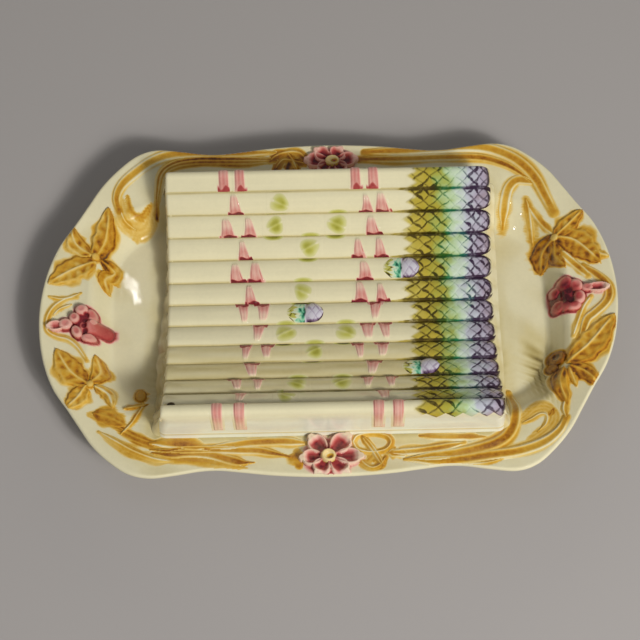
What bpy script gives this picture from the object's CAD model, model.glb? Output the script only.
# %% [markdown]
# # An asparagus platter in lead-glazed earthenware
# The real thing is one fired piece of clay: an oval tray with a scalloped edge, a raised
# cradle moulded as thirteen asparagus spears, and flowers, leaves and vines pressed onto
# the border. Its look comes from thick glossy glaze: cream all over, amber brushed over
# the vines, pink on the flowers, and green running to violet on the spears' tips.
#
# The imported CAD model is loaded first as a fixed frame. Every piece made below stands
# where its CAD node stands, so nothing is fitted by eye afterwards.

# %% Load the frame
import math

import bpy
import numpy as np
from mathutils import Matrix, Vector


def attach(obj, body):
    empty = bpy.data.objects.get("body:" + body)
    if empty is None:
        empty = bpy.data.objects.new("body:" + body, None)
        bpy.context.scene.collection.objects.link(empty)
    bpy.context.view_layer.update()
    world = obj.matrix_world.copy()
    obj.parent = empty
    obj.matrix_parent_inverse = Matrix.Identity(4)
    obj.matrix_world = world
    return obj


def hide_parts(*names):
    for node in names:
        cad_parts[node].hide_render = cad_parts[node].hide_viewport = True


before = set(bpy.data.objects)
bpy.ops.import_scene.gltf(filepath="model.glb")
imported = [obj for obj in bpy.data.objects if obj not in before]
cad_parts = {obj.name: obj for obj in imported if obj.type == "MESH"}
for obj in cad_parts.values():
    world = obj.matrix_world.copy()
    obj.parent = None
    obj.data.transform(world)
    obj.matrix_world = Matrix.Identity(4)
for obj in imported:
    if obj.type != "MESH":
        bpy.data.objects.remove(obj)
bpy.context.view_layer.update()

# %% [markdown]
# ## Measures
# All sizes below are millimetres and repeat the CAD's named values, only the spears end
# 2 mm earlier. They are turned into metres when a mesh is filled in.

# %% Sizes of the tray, the cradle and the spears
MM = 0.001
HALF_LENGTH, HALF_WIDTH = 200.0, 125.5
RIM, BORDER, FLOOR, WALL = 30.0, 25.0, 8.0, 5.0
BOWL_L, FLOOR_L, BOWL_W, FLOOR_W = 168.0, 150.0, 92.5, 72.0
CRADLE_HALF, CRADLE_FOOT, SIDE_FOOT = 112.0, 116.5, 95.0
TROUGH_SPAN, TROUGH_RISE, TROUGH_LOW, TROUGH_SHIFT = 79.64, 32.84, 18.0, 3.3
TROUGH = (TROUGH_SPAN ** 2 + TROUGH_RISE ** 2) / (2 * TROUGH_RISE)
EDGE_ANGLE = 2 * math.atan(TROUGH_RISE / TROUGH_SPAN)
PITCH = EDGE_ANGLE / 5.5
TIP_END, TIP_ROUND = 115.0, 11.0
print("trough radius", round(TROUGH, 2), "spear width", round(TROUGH * PITCH, 2))

# %% [markdown]
# ## Plain helpers
# `smooth` eases from 0 to 1, `hump` is a soft hump of height 1 and `cap` a round cap seen
# from the side. `spline` draws a soft curve through a few points. `sheet` adds a grid with
# Blender's own operator and tells for each corner its column and row, so that a formula
# can put the corner in its place.

# %% Curves and grids
def smooth(t):
    t = np.clip(t, 0.0, 1.0)
    return t * t * (3 - 2 * t)


def hump(x, centre, width):
    return np.exp(-((x - centre) / width) ** 2)


def cap(x, power=2.0):
    return np.sqrt(np.clip(1 - x ** power, 0, 1))


def between(pair, share):
    return pair[0] + (pair[1] - pair[0]) * share


def spline(points, steps, closed=False):
    p = np.asarray(points, float)
    n = len(p)
    out = []
    for i in range(n if closed else n - 1):
        a, b, c, d = (p[(i + k) % n] if closed else p[min(max(i + k, 0), n - 1)] for k in (-1, 0, 1, 2))
        for t in np.arange(steps) / steps:
            out.append(0.5 * (2 * b + (c - a) * t + (2 * a - 5 * b + 4 * c - d) * t ** 2
                              + (3 * b - a - 3 * c + d) * t ** 3))
    if not closed:
        out.append(p[-1])
    return np.array(out)


def sheet(name, columns, rows):
    bpy.ops.object.select_all(action="DESELECT")
    bpy.ops.mesh.primitive_grid_add(x_subdivisions=columns, y_subdivisions=rows, size=1)
    piece = bpy.context.active_object
    piece.name = piece.data.name = name
    flat = np.empty(len(piece.data.vertices) * 3)
    piece.data.vertices.foreach_get("co", flat)
    flat = flat.reshape(-1, 3)
    column = np.rint((flat[:, 0] + 0.5) * columns).astype(int)
    row = np.rint((flat[:, 1] + 0.5) * rows).astype(int)
    while piece.data.uv_layers:
        piece.data.uv_layers.remove(piece.data.uv_layers[0])
    return piece, column, row


def place_points(piece, x, y, z):
    piece.data.vertices.foreach_set("co", (np.stack([x, y, z], -1) * MM).ravel())
    piece.data.update()


def paint(piece, **masks):
    for name, values in masks.items():
        layer = piece.data.attributes.get(name) or piece.data.attributes.new(name, "FLOAT", "POINT")
        layer.data.foreach_set("value", np.clip(values, 0, 1).astype(np.float32))


def only(piece):
    bpy.ops.object.select_all(action="DESELECT")
    piece.select_set(True)
    bpy.context.view_layer.objects.active = piece


def edit(piece, operator, **settings):
    """Runs one edit-mode operator on the whole piece."""
    only(piece)
    bpy.ops.object.mode_set(mode="EDIT")
    bpy.ops.mesh.select_all(action="SELECT")
    operator(**settings)
    bpy.ops.object.mode_set(mode="OBJECT")


def cut_away(piece, gone):
    """Deletes the corners marked as gone."""
    only(piece)
    bpy.ops.object.mode_set(mode="EDIT")
    bpy.ops.mesh.select_mode(type="VERT")
    bpy.ops.mesh.select_all(action="DESELECT")
    bpy.ops.object.mode_set(mode="OBJECT")
    piece.data.vertices.foreach_set("select", gone)
    bpy.ops.object.mode_set(mode="EDIT")
    bpy.ops.mesh.delete(type="VERT")
    bpy.ops.object.mode_set(mode="OBJECT")


def thicken(piece, millimetres):
    """Gives a sheet its clay: the new face goes in, away from the glaze."""
    only(piece)
    clay = piece.modifiers.new("clay", "SOLIDIFY")
    clay.thickness = millimetres * MM
    clay.offset = -1
    bpy.ops.object.modifier_apply(modifier=clay.name)


def faces_up(piece):
    """Turns the faces over if most of them look down."""
    normals = np.empty(len(piece.data.polygons) * 3)
    piece.data.polygons.foreach_get("normal", normals)
    if normals.reshape(-1, 3)[:, 2].sum() < 0:
        edit(piece, bpy.ops.mesh.flip_normals)


def shell(piece, x, y, z, clay, merge=False, **masks):
    """Puts a sheet's corners in place, paints them and thickens the sheet."""
    place_points(piece, x, y, z)
    paint(piece, **masks)
    if merge:
        edit(piece, bpy.ops.mesh.remove_doubles, threshold=1e-6)
    faces_up(piece)
    thicken(piece, clay)


def join(name, pieces):
    bpy.ops.object.select_all(action="DESELECT")
    for piece in pieces:
        piece.select_set(True)
    bpy.context.view_layer.objects.active = pieces[0]
    bpy.ops.object.join()
    pieces[0].name = pieces[0].data.name = name
    return pieces[0]


def finish(piece, nodes, slot, material):
    only(piece)
    bpy.ops.object.shade_smooth()
    piece.data.materials.clear()
    piece.data.materials.append(material)
    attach(piece, "root")
    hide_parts(*nodes)
    print(piece.name, "has", len(piece.data.polygons), "faces and stands for", ", ".join(nodes))


# %% [markdown]
# ## The camera and the light
# The photograph looks down at 66 degrees from in front, a little turned. The light is
# soft and comes mostly from the near right: a large softbox with a brighter middle, a
# weaker one opposite and two pale cards, low on the left and at the back. Only the bright
# middle and three narrow strips mirror in the glossy glaze.

# %% Camera
PICTURE_PIXELS, FOCAL_PIXELS, SENSOR = 640, 1603, 36
tilt, roll, reach = math.radians(66), math.radians(-1.2), 1.1
back = Vector((0, -math.cos(tilt), math.sin(tilt)))
right = Vector((1, 0, 0))
up = right.cross(-back)
camera_x = math.cos(roll) * right + math.sin(roll) * up
camera_y = -math.sin(roll) * right + math.cos(roll) * up
eye = Vector((-0.00631, -0.01333, 0.030)) + back * reach
camera = bpy.data.objects.new("camera", bpy.data.cameras.new("camera"))
bpy.context.scene.collection.objects.link(camera)
camera.data.sensor_width = SENSOR
camera.data.lens = SENSOR * FOCAL_PIXELS / PICTURE_PIXELS
camera.data.clip_end = 20
camera.matrix_world = Matrix.Translation(eye) @ Matrix((camera_x, camera_y, back)).transposed().to_4x4()
bpy.context.scene.camera = camera
print("camera: lens", round(camera.data.lens, 1), "mm, place", [round(v, 2) for v in eye])

# %% Lights
bpy.context.scene.view_settings.view_transform = "Standard"
WINDOW, CENTRE, WARM_WHITE, WHITE = (1.05, -1.45, 1.56), (0, 0, 0), (1.0, 0.99, 0.98), (1, 1, 1)
LAMPS = [  # name, place, aimed at, width, height, watts, colour, mirrored in the glaze
    ("window_light", WINDOW, CENTRE, 0.8, 0.62, 30, WARM_WHITE, False),
    ("window_gleam", WINDOW, CENTRE, 0.2, 0.26, 19, WARM_WHITE, True),
    ("fill_light", (-0.9, 1.0, 2.0), CENTRE, 1.4, 1.1, 2, (0.95, 0.97, 1.0), False),
    ("left_card", (-1.3, 0.1, 0.2), (0, 0, 0.04), 0.5, 0.24, 1.6, (1.0, 0.98, 0.94), False),
    ("back_card", (0.1, 1.3, 0.45), (0, 0, 0.03), 0.6, 0.3, 1.8, (1.0, 0.93, 0.76), False),
    ("low_strip", (-0.66, -0.9, 0.68), (0.139, 0.07, 0.02), 0.01, 0.16, 0.16, WHITE, True),
    ("side_strip", (-0.298, 0.606, 1.24), (-0.139, 0.024, 0), 0.002, 0.04, 0.016, WHITE, True),
    ("near_strip", (0.60, 0.25, 1.10), (0.1, -0.1, 0), 0.008, 0.03, 0.03, WHITE, True),
]
for name, place, target, width, height, watts, colour, mirrored in LAMPS:
    lamp = bpy.data.lights.new(name, "AREA")
    lamp.shape, lamp.size, lamp.size_y = "RECTANGLE", width, height
    lamp.energy, lamp.color = watts, colour
    stand = bpy.data.objects.new(name, lamp)
    bpy.context.scene.collection.objects.link(stand)
    stand.location = place
    stand.visible_glossy = mirrored
    stand.rotation_euler = (Vector(target) - Vector(place)).to_track_quat("-Z", "Y").to_euler()
print("lamps:", ", ".join(lamp[0] for lamp in LAMPS))

world = bpy.data.worlds.new("room")
bpy.context.scene.world = world
world.use_nodes = True
world.node_tree.nodes["Background"].inputs["Color"].default_value = (0.95, 0.96, 1.0, 1)
world.node_tree.nodes["Background"].inputs["Strength"].default_value = 0.165

# %% [markdown]
# ## The glazes
# Colours are given as a screen shows them, 0 to 255. Three effects are shared by all the
# glazes, so each is a node group that is built once: uneven depth of the glaze, the
# ragged edge of a brush stroke, and the fine ripple of a fired surface.

# %% Colours
def tone(r, g, b):
    """A colour of the screen as the linear values of a shader."""
    return tuple(c / 3294.6 if c <= 10.3 else ((c / 255 + 0.055) / 1.055) ** 2.4 for c in (r, g, b)) + (1.0,)


def ramp(*stops):
    return [(at, tone(*colour)) for at, *colour in stops]


CREAM, CLAY = (228, 219, 180), (214, 190, 150)
HONEY = ramp((0.0, *CREAM), (0.14, 226, 208, 152), (0.3, 222, 188, 100), (0.5, 206, 158, 50), (0.68, 186, 128, 28),
             (0.85, 142, 84, 16), (1.0, 82, 46, 14))
AGE = ramp((0.0, *CREAM), (0.3, 214, 200, 148), (0.6, 184, 166, 106), (0.8, 150, 132, 78), (1.0, 100, 84, 48))
PALE = ramp((0.0, *CREAM), (1.0, 231, 232, 212))
SOOT = ramp((0.0, 120, 96, 56), (0.4, 40, 28, 18), (1.0, 12, 9, 7))
PINK = ramp((0.0, *CREAM), (0.14, 232, 204, 176), (0.32, 224, 174, 156), (0.5, 208, 136, 124), (0.65, 186, 92, 84),
            (0.8, 156, 54, 54), (0.92, 114, 30, 38), (1.0, 72, 20, 26))
GREEN = ramp((0.0, 218, 211, 164), (0.2, 208, 204, 136), (0.45, 188, 184, 90), (0.65, 162, 158, 58),
             (0.85, 104, 96, 26), (1.0, 56, 48, 14))
TEAL = ramp((0.0, *CREAM), (0.3, 196, 216, 184), (0.55, 126, 192, 154), (0.8, 54, 134, 100), (1.0, 20, 62, 52))
VIOLET = ramp((0.0, 214, 212, 214), (0.3, 196, 190, 200), (0.55, 150, 132, 154), (0.8, 98, 72, 100),
              (1.0, 52, 32, 50))

# %% Shared node groups
def feed(tree, socket, value):
    """Links an output to a socket, or sets a plain value on it."""
    if isinstance(value, bpy.types.NodeSocket):
        tree.links.new(value, socket)
    else:
        socket.default_value = value


def add(tree, kind, *values, **settings):
    """Makes a node: settings are properties or named inputs, and values go to the inputs in turn."""
    made = tree.nodes.new(kind)
    for name, value in settings.items():
        if hasattr(made, name):
            setattr(made, name, value)
        else:
            feed(tree, made.inputs[name.replace("_", " ")], value)
    for socket, value in zip(made.inputs, values):
        feed(tree, socket, value)
    return made


def noise(tree, place, **settings):
    return add(tree, "ShaderNodeTexNoise", Vector=place, **settings).outputs["Fac"]


def maths(tree, operation, *values):
    return add(tree, "ShaderNodeMath", *values, operation=operation).outputs[0]


def group(name, inputs):
    """Starts a node group and gives its tree and the sockets that bring its inputs."""
    tree = bpy.data.node_groups.new(name, "ShaderNodeTree")
    kinds = {"Color": "NodeSocketColor", "Place": "NodeSocketVector"}
    for label, value in inputs.items():
        socket = tree.interface.new_socket(label, in_out="INPUT", socket_type=kinds.get(label, "NodeSocketFloat"))
        if value is not None:
            socket.default_value = value
    return tree, tree.nodes.new("NodeGroupInput").outputs


def give(tree, **results):
    """Closes a node group: each result becomes an output of that name."""
    for label in results:
        kind = "NodeSocketColor" if label == "Color" else "NodeSocketFloat"
        tree.interface.new_socket(label, in_out="OUTPUT", socket_type=kind)
    add(tree, "NodeGroupOutput", **results)


GLOSS = (0.02, 0.05)
depth_group, given = group("uneven glaze", {"Color": None, "Place": None, "Mottle": 0.1, "Streaks": 0.0})
broad = noise(depth_group, given["Place"], Scale=38.0, Detail=3.0, Roughness=0.55)
fine = noise(depth_group, given["Place"], Scale=420.0, Detail=4.0, Roughness=0.6)
both = maths(depth_group, "MULTIPLY_ADD", fine, 0.6, broad)
swing = maths(depth_group, "MULTIPLY_ADD", maths(depth_group, "SUBTRACT", both, 0.8), given["Mottle"], 1.0)
lengthened = add(depth_group, "ShaderNodeMapping", Vector=given["Place"], Scale=(9.0, 330.0, 330.0))
drawn = noise(depth_group, lengthened.outputs[0], Scale=1.0, Detail=3.0, Roughness=0.6)
streaks = maths(depth_group, "MULTIPLY_ADD", maths(depth_group, "SUBTRACT", drawn, 0.5), given["Streaks"], swing)
shade = add(depth_group, "ShaderNodeVectorMath", given["Color"], operation="SCALE", Scale=streaks)
give(depth_group, Color=shade.outputs[0])

stroke_group, given = group(
    "brushed depth", {"Depth": 0.0, "Place": None, "Ragged": 0.4, "Scale": 300.0, "Low": 0.02, "High": 0.12})
hairs = noise(stroke_group, given["Place"], Scale=given["Scale"], Detail=4.0, Roughness=0.65)
stretch = maths(stroke_group, "MULTIPLY_ADD", hairs, 3.0, -1.5)
torn = maths(stroke_group, "MULTIPLY_ADD", stretch, given["Ragged"], 1.0)
laid = maths(stroke_group, "MULTIPLY", given["Depth"], torn)
ease = add(stroke_group, "ShaderNodeMapRange", interpolation_type="SMOOTHSTEP", Value=laid,
           From_Min=given["Low"], From_Max=given["High"])
calm = maths(stroke_group, "MULTIPLY_ADD", torn, 0.3, 0.7)
give(stroke_group, Depth=maths(stroke_group, "MULTIPLY", calm, given["Depth"]), Cover=ease.outputs[0])

ripple_group, given = group("fired ripple", {"Place": None})
wave = noise(ripple_group, given["Place"], Scale=55.0, Detail=2.0)
peel = noise(ripple_group, given["Place"], Scale=350.0, Detail=3.0)
gloss = add(ripple_group, "ShaderNodeMapRange", Value=peel, To_Min=GLOSS[0], To_Max=GLOSS[1])
give(ripple_group, Height=maths(ripple_group, "MULTIPLY_ADD", peel, 0.02, wave), Roughness=gloss.outputs[0])
print("node groups:", ", ".join(tree.name for tree in bpy.data.node_groups))

# %% [markdown]
# ## One recipe for every glaze
# A glaze is a base colour with coats laid over it one by one. Each coat has the name of
# the painted mask that it reads from the mesh, its colours by depth, how ragged its edge
# is and the scale of the brush's hairs. The marks of the spears' tips take their colour
# from the place along the spear instead. The gloss is the same everywhere, as the whole
# platter was dipped.

# %% The glaze recipe
TIP_START, TIP_SPAN, TIP_WANDER = 50.0, 70.0, 24.0


def new_material(name, base):
    """A material, its tree, the shader's sockets, the place on the object and a first colour."""
    material = bpy.data.materials.new(name)
    material.use_nodes = True
    tree = material.node_tree
    place = tree.nodes.new("ShaderNodeTexCoord").outputs["Object"]
    colour = tree.nodes.new("ShaderNodeRGB").outputs[0]
    colour.default_value = tone(*base)
    return material, tree, tree.nodes["Principled BSDF"].inputs, place, colour


def follow_ramp(tree, value, stops):
    node = add(tree, "ShaderNodeValToRGB", Fac=value)
    bar = node.color_ramp
    while len(bar.elements) < len(stops):
        bar.elements.new(0.5)
    for element, (at, colour) in zip(bar.elements, stops):
        element.position, element.color = at, colour
    return node.outputs["Color"]


def glaze(name, coats, marks=(), mottle=0.14, streaks=0.0, base=CREAM):
    """coats: (mask, ramp by depth, ragged, scale). marks: (mask, ramp along X in mm, ragged, scale)."""
    material, tree, shader, place, colour = new_material(name, base)
    shader["IOR"].default_value = 1.5
    shader["Coat Weight"].default_value = 0.35
    shader["Coat Roughness"].default_value = 0.03

    def lay(under, label, stops, ragged, scale, low, high, along=None):
        reader = add(tree, "ShaderNodeAttribute", attribute_name=label)
        brush = add(tree, "ShaderNodeGroup", node_tree=stroke_group, Place=place, Depth=reader.outputs["Fac"],
                    Ragged=ragged, Scale=scale, Low=low, High=high).outputs
        over = follow_ramp(tree, brush["Depth"] if along is None else along, stops)
        return add(tree, "ShaderNodeMix", data_type="RGBA", Factor=brush["Cover"], A=under, B=over).outputs["Result"]

    for coat in coats:
        colour = lay(colour, *coat, 0.02, 0.12)
    if marks:
        split = add(tree, "ShaderNodeSeparateXYZ", place)
        wander = noise(tree, place, Scale=120.0, Detail=2.0)
        shifted = maths(tree, "MULTIPLY_ADD", wander, TIP_WANDER * MM, split.outputs["X"])
        first = TIP_START + TIP_WANDER / 2
        along = add(tree, "ShaderNodeMapRange", Value=shifted, From_Min=first * MM, From_Max=(first + TIP_SPAN) * MM)
    for label, stops, ragged, scale in marks:
        shares = [((at - TIP_START) / TIP_SPAN, shade_of) for at, shade_of in stops]
        colour = lay(colour, label, shares, ragged, scale, 0.0, 0.9, along.outputs[0])
    uneven = add(tree, "ShaderNodeGroup", node_tree=depth_group, Place=place, Color=colour, Mottle=mottle,
                 Streaks=streaks)
    ripple = add(tree, "ShaderNodeGroup", node_tree=ripple_group, Place=place).outputs
    bump = add(tree, "ShaderNodeBump", Strength=0.16, Distance=0.0006, Height=ripple["Height"])
    feed(tree, shader["Base Color"], uneven.outputs[0])
    feed(tree, shader["Roughness"], ripple["Roughness"])
    feed(tree, shader["Normal"], bump.outputs[0])
    return material


TIP_FILL = ramp(
    (50, 212, 202, 144), (57, 196, 178, 80), (68, 182, 162, 54), (76, 172, 164, 60), (82, 164, 178, 94),
    (87, 184, 206, 156), (93, 202, 216, 196), (98, 192, 196, 202), (107, 176, 166, 182), (113, 158, 142, 152))
TIP_LINE = ramp(
    (50, 180, 160, 76), (57, 96, 80, 20), (68, 64, 50, 10), (76, 56, 52, 10), (82, 46, 88, 26),
    (87, 36, 114, 70), (93, 44, 92, 92), (98, 60, 44, 68), (107, 56, 34, 54), (113, 46, 28, 40))
TIP_MARKS = [("tip", TIP_FILL, 0.35, 260.0), ("line", TIP_LINE, 0.5, 420.0)]
cream_glaze = glaze("cream glaze on the tray", [
    ("age", AGE, 0.4, 140.0), ("honey", HONEY, 0.9, 240.0), ("pink", PINK, 0.4, 400.0)], mottle=0.16)
vine_glaze = glaze("amber glaze on vines and leaves", [
    ("honey", HONEY, 0.8, 300.0), ("pink", PINK, 0.4, 400.0)], mottle=0.3)
petal_glaze = glaze("pink glaze on flowers", [
    ("honey", HONEY, 0.4, 400.0), ("pink", PINK, 0.3, 420.0)], mottle=0.26)
eye_glaze = glaze("yellow glaze on flower eyes", [("honey", HONEY, 0.4, 700.0)], mottle=0.25, base=(236, 210, 146))
spear_glaze = glaze("cream glaze on the spears", [
    ("pale", PALE, 0.2, 160.0), ("age", AGE, 0.5, 160.0), ("honey", HONEY, 0.5, 160.0), ("green", GREEN, 0.4, 260.0),
    ("soot", SOOT, 0.1, 400.0)], TIP_MARKS, streaks=0.1)
scale_glaze = glaze("pink and green glaze on scale leaves", [
    ("age", AGE, 0.5, 160.0), ("green", GREEN, 0.4, 260.0), ("pink", PINK, 0.3, 520.0)], streaks=0.1)
loose_glaze = glaze("glaze on the loose tips", [
    ("green", GREEN, 0.35, 420.0), ("teal", TEAL, 0.35, 420.0), ("violet", VIOLET, 0.35, 520.0)], mottle=0.22)
print("seven glazes, from", cream_glaze.name, "to", loose_glaze.name)

# %% [markdown]
# ## Where the tray's face lies
# The edge is a soft curve through measured shares of the half length and half width, and
# both ends lean apart. The bowl is a squarish oval. From the middle outwards the face is
# flat, rises as the bowl's slope, and lifts a little more across the border.

# %% The tray as a formula
END_LEAN = 5.5
EDGE_SHARES = [
    (1, 0), (0.985, 0.223), (0.945, 0.414), (0.885, 0.566), (0.845, 0.669), (0.8, 0.781), (0.745, 0.876),
    (0.68, 0.956), (0.61, 0.988), (0.525, 0.976), (0.44, 0.956), (0.375, 0.953), (0.3, 0.966), (0.2, 0.985),
    (0.1, 0.996)]
quarter = [(x * HALF_LENGTH, y * HALF_WIDTH) for x, y in EDGE_SHARES]
edge = spline(
    quarter + [(0, HALF_WIDTH)] + [(-x, y) for x, y in quarter[:0:-1]]
    + [(-x, -y) for x, y in quarter] + [(0, -HALF_WIDTH)] + [(x, -y) for x, y in quarter[:0:-1]], 12, closed=True)
edge[:, 1] += END_LEAN * np.sign(edge[:, 0]) * smooth((np.abs(edge[:, 0]) / HALF_LENGTH - 0.6) / 0.4)
edge_angles = np.arctan2(edge[:, 1], edge[:, 0])
order = np.argsort(edge_angles)
edge_angles, edge_reach = edge_angles[order], np.hypot(edge[:, 0], edge[:, 1])[order]
print("the edge lies", round(edge_reach.min(), 1), "to", round(edge_reach.max(), 1), "mm from the middle")


def edge_radius(a):
    return np.interp(a, edge_angles, edge_reach, period=2 * math.pi)


def oval_radius(a, along, across):
    return ((np.abs(np.cos(a)) / along) ** 4 + (np.abs(np.sin(a)) / across) ** 4) ** -0.25


def face_height(a, r):
    f, b, e = oval_radius(a, FLOOR_L, FLOOR_W), oval_radius(a, BOWL_L, BOWL_W), edge_radius(a)
    slope = FLOOR + (BORDER - FLOOR) * smooth((r - f) / (b - f))
    border = BORDER + (RIM - BORDER) * np.clip((r - b) / (e - b), 0, 1.02) ** 1.4
    return np.where(r <= b, slope, border)


def tray_top(x, y):
    return face_height(np.arctan2(y, x), np.hypot(x, y))


# %% [markdown]
# ## A vocabulary for the relief
# Everything pressed onto the border is built from a few strokes of a modelling tool: a
# strand with raised ridges, a leaf with rims and veins, a cupped petal, a small rolled
# cup, a lobe and a round bead. A `Relief` collects for many points at once how high the
# clay rises and which glaze the brush leaves there. The highest stroke wins, as in clay.

# %% Relief strokes
def tapered(t, width, ends, start):
    """Half the width of a stroke that thins towards both ends."""
    first, last = between((ends[0], 1), smooth(t / start)), between((ends[1], 1), smooth((1 - t) / 0.25))
    return width / 2 * first * last


class Relief:
    def __init__(self, x, y):
        self.x, self.y = x, y
        self.rise = np.zeros_like(x)
        self.laid = {"honey": np.zeros_like(x), "pink": np.zeros_like(x)}
        self.washed = {"honey": np.zeros_like(x), "pink": np.zeros_like(x)}

    def follow(self, route, steps=6, reach=14.0):
        """Which points are near a route, their distance, side and share along it."""
        line = spline(route, steps)
        near = np.flatnonzero((self.x > line[:, 0].min() - reach) & (self.x < line[:, 0].max() + reach)
                              & (self.y > line[:, 1].min() - reach) & (self.y < line[:, 1].max() + reach))
        x, y = self.x[near], self.y[near]
        best, side, share = np.full(near.size, 1e3), np.ones(near.size), np.zeros(near.size)
        spans = np.hypot(*np.diff(line, axis=0).T)
        total, run = spans.sum(), 0.0
        for a, b, span in zip(line[:-1], line[1:], spans):
            dx, dy = (b - a) / max(span, 1e-6)
            t = np.clip((x - a[0]) * dx + (y - a[1]) * dy, 0, span)
            d = np.hypot(x - a[0] - t * dx, y - a[1] - t * dy)
            hit = d < best
            best = np.where(hit, d, best)
            side = np.where(hit, np.sign(dx * (y - a[1]) - dy * (x - a[0]) + 1e-9), side)
            share = np.where(hit, (run + t) / total, share)
            run += span
        return near, best, side, share

    def lay(self, near, rise, honey=0.0, pink=0.0):
        wins = rise > self.rise[near]
        self.rise[near] = np.where(wins, rise, self.rise[near])
        for name, value in (("honey", honey), ("pink", pink)):
            self.laid[name][near] = np.where(wins, value, self.laid[name][near])

    def wash(self, near, **paint):
        for name, value in paint.items():
            self.washed[name][near] = np.maximum(self.washed[name][near], value)

    def paints(self):
        """The glaze on the clay that rises, and what ran over beside it."""
        on = smooth((self.rise - 0.1) / 0.5)
        return {name: self.washed[name] * (1 - on) + self.laid[name] * on for name in self.laid}

    def strand(self, route, width, rise=2.2, ridges=(0.0,), deep=0.1, bare=0.38, lean=0.0, ends=(0.4, 0.4),
               spill=1.1, level=0.52, dry=0.25):
        near, d, side, t = self.follow(route)
        u = side * d / tapered(t, width, ends, 0.2)
        body = smooth(1.35 - np.abs(u))
        crest = np.clip(sum((hump(u, c, 0.25) for c in ridges), np.zeros_like(u)), 0, 1)
        if math.dist(route[0], route[-1]) > 1:
            crest = crest * smooth(t / 0.07) * smooth((1 - t) / 0.07)
        seed = 0.37 * route[0][0] + 0.21 * route[-1][1]
        uneven = 1 + dry * np.sin(t * 11 + seed) * np.sin(t * 5.3 + 1.7 * seed)
        brush = smooth((spill * uneven + 0.5 - np.abs(u - lean)) / 0.8)
        tonal = level * (1 + 0.22 * np.sin(t * 8.0 + 2.1 * seed))
        valley = (1 - crest) * smooth((0.75 - np.abs(u)) / 0.5)
        self.wash(near, honey=brush * tonal * 0.9)
        self.lay(near, 0.62 * rise * body * (0.55 + 0.45 * crest), honey=brush * (tonal + deep * valley - bare * crest))

    def daub(self, route, width=8.0, level=0.5, ends=(0.6, 0.6), hairs=9.0):
        """A stroke of the brush alone, with the streaks that its hairs leave."""
        near, d, side, t = self.follow(route)
        u = side * d / tapered(t, width, ends, 0.25)
        streaky = 0.82 + 0.18 * np.sin(u * hairs + 1.3 * np.sin(t * 5))
        self.wash(near, honey=level * streaky * smooth((1.15 + 0.12 * np.sin(t * 23) - np.abs(u)) / 0.5))

    def leaf(self, spine, width=12.0, rise=2.6, veins=5.0, deep=0.2, bare=0.36, spill=1.16, curl=0.0, level=0.56,
             lit=0.06):
        near, d, side, t = self.follow(spine)
        seed = 0.31 * spine[0][0] + 0.17 * spine[-1][1]
        w = width / 2 * np.sin(math.pi * np.clip(t, 0.004, 0.996) ** 0.8) ** 0.7
        w = w * (1 + 0.05 * np.sin(t * 19 + seed + side) - 0.05 * np.cos(2 * math.pi * (t * veins - 0.9)))
        au = d / np.maximum(w, 0.3)
        u = side * au
        rim = hump(au, 0.84, 0.19)
        rib = hump(side * d, curl * w, 0.95) * smooth((0.97 - t) / 0.2)
        phase = 2 * math.pi * (t * veins - au * 0.9)
        vein, swell = (0.5 + 0.5 * np.cos(phase)) ** 2, (0.5 - 0.5 * np.cos(phase)) ** 2
        x, y = self.x[near], self.y[near]
        blots = np.sin(x * 0.52 + 1.3 * np.sin(y * 0.41)) * np.sin(y * 0.57 + 1.1 * np.sin(x * 0.37 + seed))
        brush = smooth((spill * (1 + 0.14 * np.sin(t * 13 + 2 * seed)) + 0.42 - au) / 0.5)
        flat = (1 - rib) * (1 - rim)
        height = 0.46 + 0.16 * cap(au) + 0.12 * rim + 0.28 * rib - 0.14 * vein * flat
        tonal = level + (0.11 * vein - 0.06 * swell + 0.14 * blots) * flat + deep * smooth((0.34 - t) / 0.34)
        outline = 0.24 * hump(au, 1.04, 0.14) * (0.6 - 0.4 * side)
        rubbed = bare * rib + 0.32 * bare * rim * (0.6 + 0.4 * side) + lit * smooth(u / 0.8)
        self.wash(near, honey=brush * level * 0.8)
        self.lay(near, rise * smooth((1.25 - au) / 0.5) * height, honey=brush * (tonal + outline - rubbed))

    def petal(self, inner, outer, width, rise=4.2, rim_depth=0.2, hollow_depth=0.8):
        outer = tuple(between((a, b), 0.86) for a, b in zip(inner, outer))
        near, d, side, t = self.follow([inner, outer], steps=3)
        au = d / np.maximum(width / 2 * np.sin(math.pi * (0.12 + 0.84 * t) ** 1.25) ** 0.5, 0.3)
        rim = np.clip(hump(au, 0.84, 0.2) + smooth((t - 0.8) / 0.12), 0, 1)
        hollow = smooth((0.85 - au) / 0.5) * smooth((0.86 - t) / 0.25)
        streak = (0.5 + 0.5 * np.cos(side * au * 8)) * smooth((0.9 - au) / 0.3)
        edges = 0.3 * smooth((0.2 - t) / 0.2) + 0.5 * smooth((au - 0.98) / 0.12) - 0.12 * smooth((t - 0.82) / 0.1)
        self.lay(near, rise * smooth((1.1 - au) / 0.22) * (0.74 + 0.26 * rim - 0.42 * hollow),
                 pink=between((rim_depth, hollow_depth), hollow) + 0.12 * streak + edges)
        self.wash(near, pink=0.4 * smooth((1.4 - au) / 0.4))

    def bead(self, centre, radius, rise=5.0, squash=1.0, pink=(0.0, 0.0), honey=(0.0, 0.0)):
        cx, cy = centre
        near = np.flatnonzero((np.abs(self.x - cx) < radius + 3) & (np.abs(self.y - cy) < radius * squash + 3))
        d = np.hypot((self.x[near] - cx) / radius, (self.y[near] - cy) / radius / squash)
        dome = cap(d, 2.4)
        low = smooth((0.85 - dome) / 0.6)
        self.lay(near, rise * dome, pink=between(pink, low), honey=between(honey, low))
        halo = smooth((1.45 - d) / 0.4)
        self.wash(near, pink=pink[0] * halo, honey=honey[0] * halo)

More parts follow.
